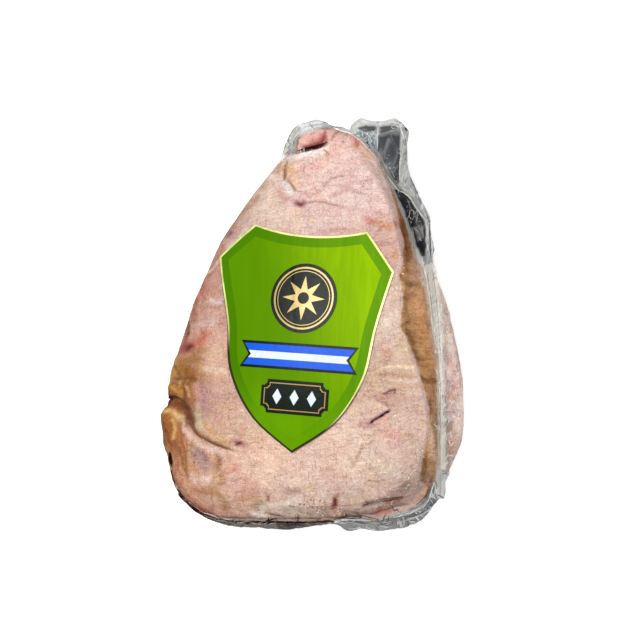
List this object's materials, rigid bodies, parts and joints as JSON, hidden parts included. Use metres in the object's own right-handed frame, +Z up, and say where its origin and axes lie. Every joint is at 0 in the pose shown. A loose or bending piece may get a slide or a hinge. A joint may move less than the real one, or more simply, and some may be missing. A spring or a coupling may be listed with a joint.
{
  "type": "raw picanha",
  "caption": "Raw beef rump cap, fat side up, sealed in clear vacuum film with a shield-shaped label, lying flat on its lean side.",
  "frame": {"origin": "centre of the pack's box in plan, on the surface it lies on", "axes": "+Z up out of the fat side, +Y along the cut towards its pointed end, +X to the right seen from above"},
  "size_m": [0.2182, 0.2846, 0.0484],
  "materials": {
    "wrapped_fat": "moist raw fat under tight clear film",
    "label": "glossy printed sticker"
  },
  "bodies": {
    "root": {"vacuum_pack": "wrapped_fat", "label": "label"}
  },
  "joints": []
}
